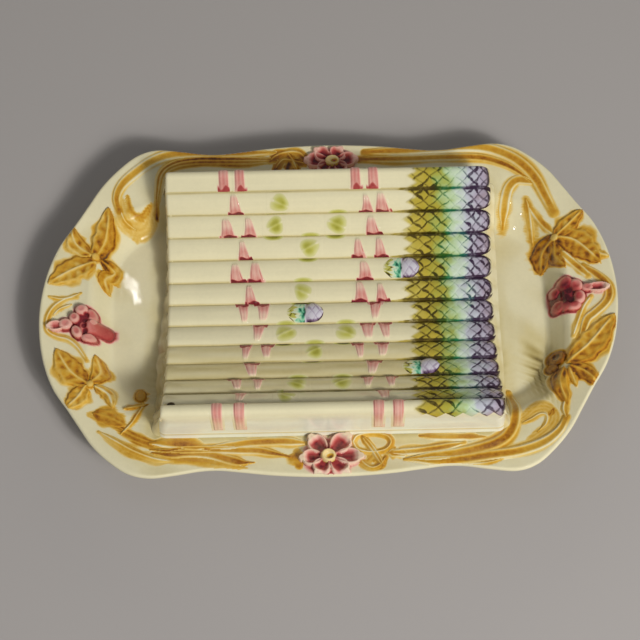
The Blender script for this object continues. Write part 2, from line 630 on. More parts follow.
    def cup(self, centre, radii, turn=0.0, rise=5.0, rim=0.36, hollow=0.6, line=0.84, heart=None):
        """A small rolled petal: pale lip, pink inside and a crimson line round its foot."""
        near = np.flatnonzero(np.hypot(self.x - centre[0], self.y - centre[1]) < max(radii) + 4)
        c, s = math.cos(math.radians(turn)), math.sin(math.radians(turn))
        x, y = self.x[near] - centre[0], self.y[near] - centre[1]
        d = np.hypot((c * x + s * y) / radii[0], (c * y - s * x) / radii[1])
        deep = 0.0
        if heart:
            hx, hy = heart[0] - centre[0], heart[1] - centre[1]
            deep = 0.34 * smooth((x * hx + y * hy) / math.hypot(hx, hy) / max(radii) + 0.35)
        tonal = rim + (hollow - rim) * smooth((0.62 - d) / 0.3) + (line - rim) * smooth((d - 0.84) / 0.12)
        self.lay(near, rise * cap(d, 2.6) * (1 - 0.2 * hump(d, 0, 0.45)), pink=tonal + deep)
        self.wash(near, pink=line * smooth((1.4 - d) / 0.3))

    def lobe(self, route, width, rise, pink):
        near, d, _, t = self.follow(route, reach=width + 3)
        au = d / (width / 2)
        dome = cap(au, 2.4)
        self.lay(near, rise * dome, pink=between(pink, smooth((0.85 - dome) / 0.6)) + 0.2 * (t - 0.5))
        self.wash(near, pink=pink[0] * smooth((1.25 - au) / 0.3))

    def dent(self, centre, radius, fall=2.5, **deeper):
        d = np.hypot(self.x - centre[0], self.y - centre[1]) / radius
        self.rise = np.maximum(self.rise - fall * hump(d, 0, 1), np.minimum(self.rise, 0.6))
        for name, value in deeper.items():
            self.laid[name] = np.maximum(self.laid[name], value * smooth((1.5 - d) / 0.9) * (self.rise > 0.3))

# %% [markdown]
# ## The sprigs
# Each sprig is a function that lays its strokes, so the same strokes can be asked twice:
# once for the sprig's own fine mesh, and once for the tray, which takes only the glaze
# that the brush let run over the edge.

# %% Vines along the border
def vines_front_left(f):
    f.strand([(-23.4, -107.4), (-22, -117.6)], 12, 1.2, ridges=(), level=0.6, dry=0)
    f.strand([(-16, -101.3), (-29.3, -99.9), (-40.6, -99.7), (-55.6, -100.4), (-67.9, -102.1), (-83.5, -103.5)], 7,
             ridges=(-0.8, 0.7), level=0.5, lean=0.1)
    f.strand([(-83.5, -103), (-94.5, -101.8), (-103.3, -100.2), (-112.6, -99.2), (-121, -99)], 6.5, ridges=(0.8,),
             lean=-0.5, level=0.6)
    f.strand([(-28, -111.1), (-40, -108.2), (-49.2, -106.2), (-62, -105.6), (-77.1, -104.7), (-95.7, -104.4),
              (-110.3, -104.8), (-120.9, -104)], 6.5, ridges=(-0.75, 0.75), ends=(0.3, 0.15), level=0.58)
    f.strand([(-51.8, -114.8), (-59.7, -115), (-67.7, -113.1), (-81.7, -108.5), (-95.7, -107), (-108.9, -107.8),
              (-119.5, -106.2)], 7.6, ridges=(-0.85, 0.7), level=0.6, ends=(0.15, 0.2))
    f.strand([(-56.4, -118.8), (-67.6, -117.1), (-81.6, -113.4), (-94.2, -111.5), (-106.2, -110.4), (-118.8, -107.6)],
             6.5, 1.6, ridges=(-0.8,), lean=0.2, ends=(0.1, 0.2), level=0.45)
    f.strand([(-105.5, -112.8), (-118.7, -110.2), (-132.8, -104.3), (-144.3, -97.4), (-155.8, -90.5)], 4.6, 1.6,
             lean=0.5, ends=(0.3, 0.3), spill=1.6, level=0.46)
    f.strand([(-128.7, -63), (-129, -70.6), (-132.4, -81.8), (-141, -92.4)], 3.4, 2, ends=(0.6, 0.3), level=0.5)
    f.daub([(-96, -101), (-112, -101.5), (-124, -98.5), (-136, -92), (-146, -84)], 9, 0.82, ends=(0.2, 0.5))
    f.daub([(-140, -86), (-150, -80), (-162, -78)], 10, 0.5, hairs=14)
    f.daub([(-112, -112), (-130, -106), (-146, -97)], 7, 0.42, ends=(0.4, 0.2), hairs=14)


def vines_front_right(f):
    f.strand([(38, -109.3), (55.7, -108.5), (73.5, -106.2), (88.2, -103.3)], 6.4, ridges=(-0.75, 0.5), lean=0.2)
    f.strand([(47.2, -114.5), (63.5, -113.1), (79.6, -111.4), (95.9, -108.1), (109.1, -103.9), (117.5, -97.9),
              (122.3, -88.3), (124, -74.2), (122, -61.7)], 8.6, 2.6, ridges=(-0.78, 0.72), ends=(0.12, 0.5),
             level=0.58)
    f.strand([(58.7, -97.6), (72.4, -98.9), (88.5, -99.2), (101.9, -99.5)], 4.4, 1.8, ridges=(-0.8,), lean=0.3,
             level=0.5)
    f.strand([(47.2, -115.2), (65.6, -116.2), (80.8, -116.2), (103.5, -112.8), (123.8, -110.1), (140.2, -104.7),
              (151.2, -96.6), (156.9, -87.3)], 8.4, 2.4, ridges=(-0.8, 0.62), lean=0.1, ends=(0.12, 0.6), level=0.54)
    f.strand([(84, -118.4), (100, -118.2), (113, -115.4)], 3.6, 1.4, ridges=(-0.3,), level=0.5)
    f.daub([(125, -88.5), (130, -85), (137, -79), (144.5, -78.5), (148.8, -84), (147, -90.5), (140, -97),
            (131, -103)], 9.5, 0.5, hairs=12)
    f.daub([(146.5, -84.5), (149, -81)], 5, 0.85)
    f.strand([(128, -90), (134, -87.5), (140, -84), (144, -85), (143, -91), (137, -97)], 3.4, 1.2, ridges=(0.2,),
             ends=(0.6, 0.2), level=0.42)


def vines_back_left(f):
    f.strand([(-36, 119.5), (-69, 120), (-98, 120.5), (-114, 119), (-126, 114), (-137, 105.5), (-146, 96),
              (-149.5, 86), (-147, 76)], 8.4, 2.2, ridges=(-0.75, 0.75), ends=(0.3, 0.6), level=0.52)
    f.strand([(-36, 113.8), (-69, 114), (-94, 114.5), (-109, 112), (-117.5, 105), (-120, 92), (-121.5, 74)], 7, 2,
             ridges=(-0.7, 0.1, 0.75), ends=(0.6, 0.3), level=0.76, deep=0.2)
    f.daub([(-147, 84), (-144, 71), (-137, 66), (-129, 69), (-123.5, 80)], 14, 0.4, hairs=14)
    f.daub([(-142, 88), (-139, 77), (-132, 74), (-125, 82)], 5, 0.7, hairs=5)
    f.daub([(-140, 70), (-136, 60)], 7, 0.4, hairs=12)
    f.strand([(-147.5, 80), (-143.5, 70), (-136, 66)], 3.6, 1.2, ends=(0.5, 0.3), level=0.5)


def vines_back_right(f):
    f.strand([(28, 118.5), (60, 119.3), (80, 120.2), (111, 120.6), (129, 114.8), (141, 106), (150, 94), (156, 80),
              (161, 68)], 8.6, 2.4, ridges=(-0.75, 0.75), ends=(0.5, 0.8), level=0.5)
    f.strand([(24, 113.4), (60, 112.8), (88, 113.3), (112, 112.6), (129, 106.6), (141, 98), (149, 90)], 6.6, 2,
             ridges=(-0.7, 0.65), ends=(0.7, 0.4), level=0.6)
    f.strand([(149, 91), (138, 94.5), (131, 89.5), (127.5, 79), (126, 64)], 7.6, 1.8, ridges=(-0.8, 0.7),
             ends=(0.4, 0.3), level=0.46)
    f.daub([(136, 92), (129, 86), (126.5, 74), (126, 60)], 9.5, 0.46, hairs=14)
    f.strand([(142, 80), (144, 68), (146.5, 50)], 4.6, 1.4, ridges=(0.2,), ends=(0.4, 0.3), level=0.48, dry=0.5)
    f.daub([(142, 80), (145, 66), (147, 50)], 10, 0.44, hairs=12)
    f.strand([(144, 74), (152, 62), (160, 52)], 4.6, 1.8, ridges=(-0.5,), ends=(0.5, 0.6), level=0.5)


def knot_front(f):
    f.strand([(37.2, -109.7), (50.4, -110.4)], 7, 2, ridges=(-0.75, 0.75), level=0.5)
    f.strand([(14, -100.9), (17.5, -96.4), (26.9, -95), (36.1, -96.8), (39.3, -101.6), (35.6, -107),
              (26.3, -108.8), (17.1, -106.5), (14, -100.9)], 3.8, 2.8, ends=(1, 1), spill=1.3, level=0.5, bare=0.4,
             dry=0)
    f.strand([(20.1, -97), (25.2, -104.2), (29.5, -111.7), (33.2, -119.5)], 5, 3.2, ridges=(-0.4, 0.5),
             ends=(0.5, 0.4), level=0.55)
    f.strand([(17, -109.1), (20.1, -116.2), (25.9, -120.3), (31.9, -118), (35.4, -112.6)], 3.6, 2.4, ends=(0.8, 0.6),
             spill=1.8, level=0.56)
    f.strand([(24.5, -112), (27.5, -115)], 7.5, 0.8, ridges=(), level=0.5)
    f.strand([(37, -104), (41, -108)], 5.5, 0.9, ridges=(), level=0.66)


def knot_back(f):
    f.strand([(-40, 113), (-34, 117.5), (-25, 119.6), (-18.2, 118.4), (-13.9, 113.4)], 5, 2.6, ridges=(0.1,),
             ends=(0.5, 0.7), spill=1.6, level=0.66)
    f.strand([(-27.5, 119.3), (-23.3, 113.1), (-20, 105)], 3.8, 3.2, ends=(0.7, 0.7), spill=1.7, level=0.66)
    f.strand([(-36.3, 107), (-30.5, 114), (-22.1, 112.8), (-14, 110.8)], 3.8, 2.4, ends=(0.7, 0.7), spill=1.6,
             level=0.72)
    f.strand([(-29, 109), (-22, 107)], 7, 0.8, ridges=(), level=0.9)


def tendrils_left(f):
    f.strand([(-174.8, 9.6), (-181.9, 8), (-189.1, 2.5), (-193.2, -4.6), (-194.3, -11.5), (-193, -17),
              (-187.3, -20.4), (-179.2, -22.4), (-172.6, -28), (-166, -38)], 4.6, 1.8, ridges=(-0.1,),
             ends=(0.6, 0.5), level=0.42)
    f.strand([(-178.5, 4), (-186, 0.2), (-190, -4.8)], 3, 1.6, ends=(0.6, 0.5), level=0.34)
    f.strand([(-193.5, 9.2), (-185.9, 7.8), (-179.2, 9.4), (-172, 13)], 3.6, 1.8, ends=(0.5, 0.5), level=0.4)


def tendrils_right(f):
    f.strand([(177.9, 25.5), (186.1, 18.5), (191.8, 11.8), (194, 5), (192.8, -0.8), (188.6, -6), (182.5, -11),
              (177, -16), (172, -30)], 6.6, 2.2, ridges=(-0.75, 0.7), ends=(0.7, 0.6), level=0.58)
    f.strand([(181.5, 1.8), (176.7, -4.2), (173, -12), (167, -27)], 5.2, 1.8, ends=(0.6, 0.6), level=0.4)

# %% Leaves at the four corners
def leaves_back_left(f):
    f.leaf([(-164, 40), (-158, 56), (-155, 79)], 14, veins=4, curl=-0.25, level=0.66, lit=0.22)
    f.leaf([(-166, 42), (-177, 50), (-181, 64)], 12, 2.4, veins=3, level=0.56, lit=0.2)
    f.leaf([(-163, 37), (-177, 31), (-194.5, 19)], 17, veins=5, level=0.54)
    f.leaf([(-160, 40), (-151, 35), (-157, 27), (-154, 17)], 11, 2.4, veins=3, deep=0.5, level=0.6)
    f.bead((-163, 41), 3.2, 3, honey=(0.4, 0.85))


def leaves_front_left(f):
    f.leaf([(-165, -55), (-177, -46), (-187, -30)], 17, veins=4, level=0.58)
    f.leaf([(-162, -54), (-157, -45), (-161, -32)], 11, veins=3, level=0.6)
    f.leaf([(-166, -57), (-171, -66), (-178, -74)], 13, veins=4, level=0.54)
    f.leaf([(-160, -57), (-151, -62), (-147, -73)], 9, 2.4, veins=3, bare=0.5, level=0.48)
    f.leaf([(-160, -77), (-150, -79.5), (-138, -86)], 11, 0.9, veins=3, level=0.66, bare=0.16, spill=1.35)
    f.leaf([(-140, -73.5), (-132, -68.5), (-125, -64.5)], 4.4, 1.8, veins=2, level=0.66)
    f.bead((-163, -55.5), 3, 3, honey=(0.36, 0.85))
    f.bead((-130.5, -58.5), 4, 2.8, squash=1.2, honey=(0.5, 0.8))


def leaves_back_right(f):
    f.leaf([(160, 49), (169, 57), (181, 68)], 12, veins=4, level=0.64)
    f.leaf([(160, 49), (174, 45), (190, 27)], 20, veins=6, level=0.68, bare=0.5)
    f.leaf([(162, 50), (152, 42), (151, 27)], 14, 2.2, veins=4, level=0.8)
    f.leaf([(160, 46), (160, 36), (166, 26)], 9, 2, veins=3, level=0.8)
    f.leaf([(187, 36), (191, 33), (197, 31)], 5, 1.8, veins=1, level=0.56)
    f.strand([(163, 38), (171, 29), (181, 18)], 6.6, 2.2, ridges=(-0.7, 0.6), ends=(0.7, 0.8), level=0.5)
    f.bead((160, 49), 2.8, 3, honey=(0.3, 0.6))


def leaves_front_right(f):
    f.leaf([(162, -46), (178, -34), (196, -13)], 19, veins=5, level=0.6, curl=0.1, bare=0.42)
    f.leaf([(163, -49), (172, -54), (182, -66)], 11, veins=3, level=0.76)
    f.leaf([(159, -49), (155, -60), (159, -78)], 11, veins=2, level=0.7)
    f.leaf([(162, -50), (164, -57), (166, -65)], 5, 1.8, veins=2, level=0.66)
    f.strand([(154.3, -57.3), (155.8, -65.4), (158.2, -73.9), (156.7, -81.1), (157.4, -88.8)], 5.4, 2.2,
             ridges=(-0.5,), level=0.56)
    f.bead((155.5, -40), 5.6, 3.8, honey=(0.78, 0.95))
    f.bead((152, -47), 4, 2.2, honey=(0.78, 0.95))
    f.dent((155.2, -39), 2.8, 2.6, honey=1)

# %% Flowers
FRONT_EYE, BACK_EYE = (-2.6, -111.6), (4.9, 112.0)
FRONT_PETALS = [((-15.0, -96.0), 13.5), ((12.0, -95.4), 15.0), ((21.4, -112.2), 12.6), ((10.4, -124.6), 12.6),
                ((-10.8, -124.6), 12.6), ((-22, -112.8), 12.4)]
BACK_PETALS = [((-7.8, 120.6), 11.5), ((11.4, 121.2), 13.0), ((23.4, 113.2), 11.5), ((15.6, 103.6), 9.5),
               ((-6, 103.8), 9.5), ((-15.6, 113), 11.5)]


def petals_front(f):
    f.bead(FRONT_EYE, 14, 1.7, squash=0.8, pink=(0.8, 0.8))
    for tip, width in FRONT_PETALS:
        f.petal(tuple(np.array(FRONT_EYE) * 0.76 + np.array(tip) * 0.24), tip, width)


def petals_back(f):
    f.bead(BACK_EYE, 13, 1.5, squash=0.6, pink=(0.9, 0.9))
    for tip, width in BACK_PETALS:
        f.petal(tuple(np.array(BACK_EYE) * 0.76 + np.array(tip) * 0.24), tip, width, 3.8, 0.38, 0.86)


def bell_left(f):
    f.bead((-167.5, -9.5), 7, 2.2, squash=1.45, pink=(0.9, 0.94))
    f.lobe([(-166.5, -12.6), (-160.1, -12.4), (-155, -13)], 11.4, 4.8, (0.64, 0.84))
    f.cup((-163.8, -4), (4, 5), 20, 4.6, 0.5, 0.6, 0.8)
    f.cup((-165.4, -21.2), (5.6, 3.6), 0, 4.4, 0.42, 0.5, 0.8)
    f.cup((-170.8, -0.6), (4.8, 4), 10, 5.6, 0.36, 0.5, 0.84)
    f.cup((-175.4, -7), (3.9, 4.2), 0, 6)
    f.cup((-173.4, -17.4), (3.8, 5.4), 28, 6)
    f.cup((-162.6, -9.6), (3.2, 3), 0, 5.6, 0.4, 0.46, 0.5)
    for place in [(-167.4, -4.4), (-168.6, -8.2), (-168.8, -12.2), (-167.8, -16.0)]:
        f.dent(place, 2.3, 3.4, pink=0.95)


def calyx_left(f):
    f.cup((-181.2, -11.6), (5.2, 4.6), 10, 4.6, 0.34, 0.52, 0.8)
    f.petal((-182.5, -12.6), (-194.5, -14.2), 7.6, 4, 0.26, 0.6)


def cluster_right(f):
    f.bead((164.6, 4.2), 9, 2, squash=1.15, pink=(0.9, 0.95))
    heart = (165.4, 4.0)
    f.cup((164.2, 13), (5.8, 5.2), 30, 5, 0.58, 0.68, 0.9, heart)
    f.cup((171.8, 10.2), (4.8, 5.4), 30, 5.4, 0.4, 0.56, 0.84, heart)
    f.cup((173.2, 1.2), (4.6, 5.8), -10, 5.4, 0.38, 0.6, 0.84, heart)
    f.cup((169.2, -5), (5.6, 4), 10, 4.8, 0.46, 0.6, 0.84, heart)
    f.cup((159.2, -2.4), (4.4, 5), -20, 4.6, 0.7, 0.76, 0.9)
    f.cup((164, -3.2), (3.8, 4.8), 0, 4.4, 0.66, 0.72, 0.9, heart)
    f.cup((157.8, 8.8), (3.8, 4.6), 0, 3.6, 0.5, 0.66, 0.84, heart)
    for place in [(166.8, 7.1), (164.8, 3.0), (162.0, 6.0), (167.8, 0.4)]:
        f.dent(place, 3.0, 3.2, pink=1.0)


def stem_right(f):
    f.cup((179.0, 8.2), (4.6, 3.4), 0, 4.4, 0.46, 0.6, 0.9)
    f.petal((179.0, 8.0), (195.5, 7.6), 7.0, 4.2, 0.26, 0.7)

# %% List of the sprigs
AMBER, ROSE = ("amber_glaze", vine_glaze), ("pink_glaze", petal_glaze)
SPRIGS = [  # piece, its strokes, its node, slot and glaze, the corners of its place on the border
    ("vines_front_left", vines_front_left, "vine_front_left", AMBER, (-168, -125), (-10, -54)),
    ("vines_front_right", vines_front_right, "vine_front_right", AMBER, (32, -124), (166, -52)),
    ("vines_back_left", vines_back_left, "vine_back_left", AMBER, (-158, 56), (-30, 126)),
    ("vines_back_right", vines_back_right, "vine_back_right", AMBER, (20, 42), (170, 126)),
    ("knot_by_front_flower", knot_front, "knot_front", AMBER, (8, -125), (56, -88)),
    ("knot_by_back_flower", knot_back, "knot_back", AMBER, (-48, 98), (-7, 125)),
    ("tendrils_left_end", tendrils_left, "tendril_left", AMBER, (-199, -44), (-166, 20)),
    ("tendrils_right_end", tendrils_right, "tendril_right", AMBER, (156, -38), (198, 32)),
    ("corner_leaves_back_left", leaves_back_left, "leaves_back_left", AMBER, (-199, 10), (-143, 86)),
    ("corner_leaves_front_left", leaves_front_left, "leaves_front_left", AMBER, (-193, -96), (-118, -22)),
    ("corner_leaves_back_right", leaves_back_right, "leaves_back_right", AMBER, (140, 8), (199, 76)),
    ("corner_leaves_front_right", leaves_front_right, "leaves_front_right", AMBER, (144, -98), (200, -6)),
    ("front_flower_petals", petals_front, "front_petals", ROSE, (-26, -125), (26, -92)),
    ("back_flower_petals", petals_back, "back_petals", ROSE, (-22, 98), (30, 125)),
    ("bell_flower_left", bell_left, "left_bell", ROSE, (-184, -30), (-142, 10)),
    ("bell_calyx_left", calyx_left, "left_calyx", ROSE, (-199, -23), (-172, -2)),
    ("berry_cluster_right", cluster_right, "right_cluster", ROSE, (148, -14), (182, 24)),
    ("berry_stem_right", stem_right, "right_stem", ROSE, (170, -2), (199, 18)),
]

# %% [markdown]
# ## Meshes for the sprigs
# A sprig's mesh is a fine grid laid over its place on the border. Each corner takes the
# tray's height plus the relief. Where there is no relief the grid dips just under the
# glaze of the tray, and what dips is cut away; a Solidify modifier closes the rest.

# %% Make the sprigs
GRID_STEP, TUCKED, SPRIG_CLAY = 0.45, 0.14, 1.2


def relief_piece(name, strokes, node, look, low, high):
    columns, rows = (int(round((b - a) / GRID_STEP)) for a, b in zip(low, high))
    piece, column, row = sheet(name, columns, rows)
    x, y = low[0] + column * GRID_STEP, low[1] + row * GRID_STEP
    field = Relief(x, y)
    strokes(field)
    rim = edge_radius(np.arctan2(y, x)) - np.hypot(x, y)
    rise = field.rise * smooth((rim - 0.8) / 3.0)
    shown = (rise > 0.004) & (rim > 1.0)
    place_points(piece, x, y, tray_top(x, y) + rise - TUCKED * (1 - smooth(rise / TUCKED)))
    paint(piece, **{label: values for label, values in field.paints().items() if values.max() > 0})
    near = np.zeros((rows + 3, columns + 3), bool)
    for dc in (0, 1, 2):
        for dr in (0, 1, 2):
            near[row + dr, column + dc] |= shown
    cut_away(piece, ~(near[row + 1, column + 1] & (rim > 0.9)))
    faces_up(piece)
    thicken(piece, SPRIG_CLAY)
    finish(piece, [node], *look)


for sprig in SPRIGS:
    relief_piece(*sprig)

# %% [markdown]
# The two eyes are turned bosses: a low dome with a raised lip and an off-centre dimple
# where darker glaze has gathered.

# %% Eyes of the flowers
def eye_piece(name, node, centre, half_x, half_y, rise):
    around, out, skirt, clay = 72, 16, 6, 0.8
    piece, column, row = sheet(name, around, out + skirt)
    a, q = -column / around * 2 * math.pi, np.minimum(row / out, 1.0)
    x, y = centre[0] + half_x * q * np.cos(a), centre[1] + half_y * q * np.sin(a)
    dimple = hump(x, centre[0] + 1.3, 2.3) * hump(y, centre[1] - 0.9, 1.7)
    dome = rise * (0.72 + 0.28 * hump(q, 0.7, 0.24)) * cap(q, 5) - 1.6 * dimple
    z = tray_top(*centre) + 0.6 + dome - np.maximum(row - out, 0) / skirt * 2.2
    shell(piece, x, y, z, clay, merge=True, honey=0.62 * smooth(dimple * 1.5) + 0.5 * smooth((q - 0.86) / 0.14))
    finish(piece, [node], "yellow_glaze", eye_glaze)


eye_piece("front_flower_eye", "front_eye", FRONT_EYE, 5.6, 5.2, 6.0)
eye_piece("back_flower_eye", "back_eye", BACK_EYE, 5.6, 4.0, 5.2)

# %% [markdown]
# ## The tray
# The tray is one grid wrapped round: columns run round the platter and rows run from the
# middle of the floor out to the rounded lip and back underneath. Merging by distance
# closes the seam and both poles. Its paint is what the sprigs' brush let run over.

# %% Make the tray
AROUND, LIP, LIP_DROP = 900, 1.8, 2.4
rings = [("top", s) for s in np.concatenate([
    [0, 0.45, 0.66], np.linspace(0.72, 1, 12), np.linspace(1, 2, 20)[1:], np.linspace(2, 3, 33)[1:]])]
rings += [("lip", t) for t in np.linspace(0, 1, 9)[1:]]
rings += [("under", s) for s in np.concatenate([np.linspace(2.9, 2, 6), np.linspace(2, 1, 9)[1:], [0.6, 0]])]
tray, column, row = sheet("glazed_tray", AROUND, len(rings) - 1)
round_angles = -np.arange(AROUND + 1) / AROUND * 2 * math.pi
grid_r, grid_z = np.zeros((len(rings), AROUND + 1)), np.zeros((len(rings), AROUND + 1))
f_r, b_r = oval_radius(round_angles, FLOOR_L, FLOOR_W), oval_radius(round_angles, BOWL_L, BOWL_W)
e_r = edge_radius(round_angles)
lip_top = face_height(round_angles, e_r - LIP)
for n, (kind, s) in enumerate(rings):
    if kind == "lip":
        grid_r[n] = e_r - LIP + LIP * math.sin(math.pi * s) ** 0.9
        grid_z[n] = lip_top - LIP_DROP + LIP_DROP * math.cos(math.pi * s)
    else:
        r = f_r * s if s <= 1 else f_r + (b_r - f_r) * (s - 1) if s <= 2 else b_r + (e_r - LIP - b_r) * (s - 2)
        steep = 0.5 * math.sin(math.pi * (s - 1)) if 1 < s < 2 else 0
        grid_r[n] = r
        grid_z[n] = face_height(round_angles, r) - (WALL * (1 + steep) if kind == "under" else 0)
r, z, a = grid_r[row, column], grid_z[row, column], round_angles[column]
x, y = r * np.cos(a), r * np.sin(a)
place_points(tray, x, y, z)


def hanging(a, y):
    """Curtains of glaze that ran down and stopped unevenly."""
    return np.sin(a + 1.6 * np.sin(y * 0.05) + 0.8 * np.sin(y * 0.21))


brushed = Relief(x, y)
for _, strokes, *_ in SPRIGS:
    strokes(brushed)
on_face = np.array([kind == "top" for kind, _ in rings])[row]
beside = np.hypot(np.clip(np.abs(x) - CRADLE_FOOT, 0, None), np.clip(np.abs(y) - SIDE_FOOT, 0, None))
patches = 0.5 + 0.5 * np.sin(x * 0.083 + 1.7 * np.sin(y * 0.061)) * np.sin(y * 0.097 + 1.1 * np.sin(x * 0.05))
streaked = 0.62 + 0.22 * np.sin(x * 1.9 + 0.06 * y + 1.4 * np.sin(y * 0.11)) + 0.16 * np.sin(x * 3.7 + 0.2 * y)
pool = hump(x + 0.16 * (y + 48), 145, 9.5) * hump(y, -48, 30.0) * streaked
foot_line = (0.26 + 0.16 * (0.5 + 0.5 * hanging(beside * 0.9, y))) * smooth((17 - beside) / 17)
age = pool + 0.16 * patches ** 2 + foot_line * (0.3 + 0.7 * smooth((50 - y) / 100))
paint(tray, age=age * on_face, **{label: values * on_face for label, values in brushed.paints().items()})
edit(tray, bpy.ops.mesh.remove_doubles, threshold=1e-6)
finish(tray, ["tray_body"], "cream_glaze", cream_glaze)

# %% [markdown]
# ## The cradle's end walls
# Only the cradle's two ends show. They hang from the spears' ends like cloth, with soft
# flutes that die out towards the tray. Below the spears runs the hidden arch.
# %% Spears and trough as formulas
MIDDLE_SPEAR, BULGE, GROOVE_LIFT, CORNER, WALL_CLAY = 7, 2.2, 0.6, 6.0, 3.0
SIDE_KNOTS = [(83.4, 55.6), (87.0, 57.3), (90.3, 56.0), (92.0, 51.0), (92.7, 44), (93.5, 36), (94.3, 29.5),
              (95.6, 25.2)]


def trough(angle, radius):
    return radius * np.sin(angle) - TROUGH_SHIFT, TROUGH_LOW + TROUGH - radius * np.cos(angle)


def spear_lift(across):
    return GROOVE_LIFT + BULGE * (1 - np.clip(np.abs(2 * across), 0, 1) ** 2.5)


def outer_path(sign):
    """The outer spear's skin from its groove over the crest and down the side wall."""
    groove = trough(sign * EDGE_ANGLE, TROUGH - GROOVE_LIFT)
    path = spline([groove] + [(sign * y, z) for y, z in SIDE_KNOTS], 10)
    reach = np.concatenate([[0], np.cumsum(np.hypot(*np.diff(path, axis=0).T))])
    return path, reach / reach[-1]


def drawn_back(beyond):
    """How far a round corner draws a point back that stands this far past the corner's end."""
    return CORNER - np.sqrt(np.clip(CORNER ** 2 - np.clip(beyond + CORNER, 0, CORNER) ** 2, 0, CORNER ** 2))


across_all = np.linspace(-5.5, 5.5, 11 * 24 + 1)
inner = trough(across_all * PITCH, TROUGH - spear_lift(across_all - np.rint(across_all)))
profile = np.concatenate([outer_path(-1)[0][:0:-1], np.stack(inner, -1), outer_path(1)[0][1:]])
profile = profile[np.argsort(profile[:, 0], kind="stable")]


# %% Make the cradle
def end_wall(name, sign):
    columns, rows = 380, 26
    piece, column, row = sheet(name, columns, rows)
    t = row / rows
    half = 90.6 + 4.6 * t
    y = (column / (columns / 2) - 1) * half
    top = np.interp(y, profile[:, 0], profile[:, 1]) - (2.0 if sign < 0 else 5.0)
    flute = np.cos(2 * math.pi * np.arcsin(np.clip((y + TROUGH_SHIFT) / TROUGH, -1, 1)) / PITCH)
    wider, fluted = 4.0, 0.0
    if sign < 0:
        wider = 4.0 - 6.0 * smooth((y + 40) / 80)
        fluted = 1.2 * flute * (1 - 0.6 * t)
    start = CRADLE_HALF - 0.6
    x = sign * (start + (CRADLE_FOOT - start) * t ** 1.3 + wider * t ** 3 + fluted * smooth(t / 0.1)
                - drawn_back(np.abs(y) - half))
    place_points(piece, x, y, top + (tray_top(x, y) - 0.4 - top) * t)
    hung = 0.5 + 0.5 * hanging(t * 17, y) * np.sin(t * 7 + y * 0.06)
    paint(piece, age=0.04 + 0.08 * hung - 0.08 * flute + (0.16 + 0.14 * hung) * smooth((20 - y) / 80))
    if sum(face.normal[0] for face in piece.data.polygons) * sign < 0:
        edit(piece, bpy.ops.mesh.flip_normals)
    thicken(piece, WALL_CLAY)
    return piece


ARCH_HALF, ARCH_REACH, ARCH_UNDER, ARCH_CLAY = 110.5, 1.02, 2.2, 4.0
arch, column, row = sheet("arch", 60, 120)
y, z = trough((row / 60 - 1) * EDGE_ANGLE * ARCH_REACH, TROUGH + ARCH_UNDER)
shell(arch, (column / 30 - 1) * ARCH_HALF, y, z, ARCH_CLAY)
cradle = join("glazed_cradle", [end_wall("wall_left", -1), end_wall("wall_right", 1), arch])
finish(cradle, ["cradle"], "cream_glaze", cream_glaze)

# %% [markdown]
# ## The thirteen spears
# A spear is a long strip with a low round back. Its left end turns down over the cradle's
# end wall. Its right end is a blunt nose covered in overlapping scales: a lattice of
# diamonds, each rising towards its tip and dropping to a dark line where glaze gathers.

# %% Spear patterns
LEFT_BRACTS = [[-0.575], [-0.63, -0.49], [-0.53], [-0.575, -0.45], [-0.49], [-0.53, -0.41], [-0.44],
               [-0.51, -0.385], [-0.475], [-0.565, -0.44], [-0.54]]
RIGHT_BRACTS = [[0.245, 0.34], [0.28], [0.195, 0.325], [0.225], [0.195, 0.325], [0.29], [0.24, 0.345],
                [0.18, 0.32], [0.255], [0.225, 0.365], [0.315]]
LEFT_WALL = [(1, -0.64), (1, -0.54), (-1, -0.67), (-1, -0.54)]
RIGHT_WALL = [(1, 0.18), (1, 0.29), (-1, 0.275), (-1, 0.39)]
GREENS = [(2, -0.295), (3, -0.325), (3, 0.065), (4, -0.11), (6, -0.16), (8, -0.27), (8, 0.1), (9, -0.095), (11, -0.2),
          (11, 0.07), (12, -0.265)]
LOOSE = {"back": (5, 0.33), "middle": (7, -0.275), "front": (10, 0.42)}
STAINED = {9: 0.2, 10: 0.3, 11: 0.2}
SCALE_LENGTH, SCALE_ROWS, SCALE_CLOSING = 11.0, 13.33, 0.00682
rng = np.random.default_rng(7)
tip_starts, tip_phase = 54.0 + rng.uniform(-3.0, 3.0, 14), rng.uniform(0, 1, 14)


def chance(a, b, c):
    """A steady random number for each scale."""
    return np.mod(np.sin(a * 12.9898 + b * 78.233 + c * 37.719) * 43758.5453, 1.0)


def scale_rows(x, k, start, coarse):
    """Counts the rows of scales along a spear: they get closer towards the nose."""
    closing = np.log(np.clip(1 - SCALE_CLOSING * (x - start), 0.2, 1.3))
    return -SCALE_ROWS * closing * SCALE_LENGTH / coarse + tip_phase[k]


